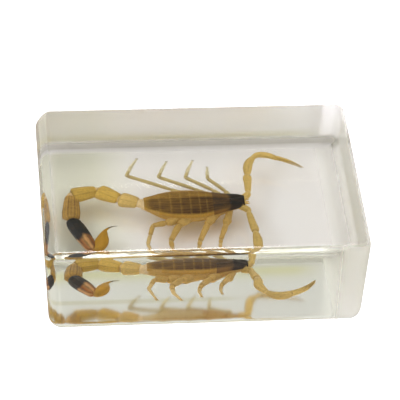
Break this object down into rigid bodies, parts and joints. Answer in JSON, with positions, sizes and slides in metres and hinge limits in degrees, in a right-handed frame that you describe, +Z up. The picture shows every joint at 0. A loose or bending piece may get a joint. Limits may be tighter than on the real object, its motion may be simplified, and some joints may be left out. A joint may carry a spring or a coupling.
{
  "type": "scorpion in resin block",
  "caption": "Clear cast resin block with rounded edges and slightly leaning walls, holding a dried golden scorpion whose tail curls round to the front.",
  "frame": {"origin": "middle of the block's box, on the flat bottom that it stands on", "axes": "+X along the block's long side, towards the scorpion's head; +Y from the front face, which the tail curls towards, to the back face; +Z up through the top face"},
  "size_m": [0.0654, 0.0466, 0.022],
  "materials": {
    "clear_resin": "polished clear casting resin with a faint straw tint",
    "golden_cuticle": "satin, horn-like dried cuticle, golden with darker back, joints and tail end"
  },
  "bodies": {
    "root": {"resin_lower_half": "clear_resin", "resin_upper_half": "clear_resin", "scorpion": "golden_cuticle"}
  },
  "joints": []
}
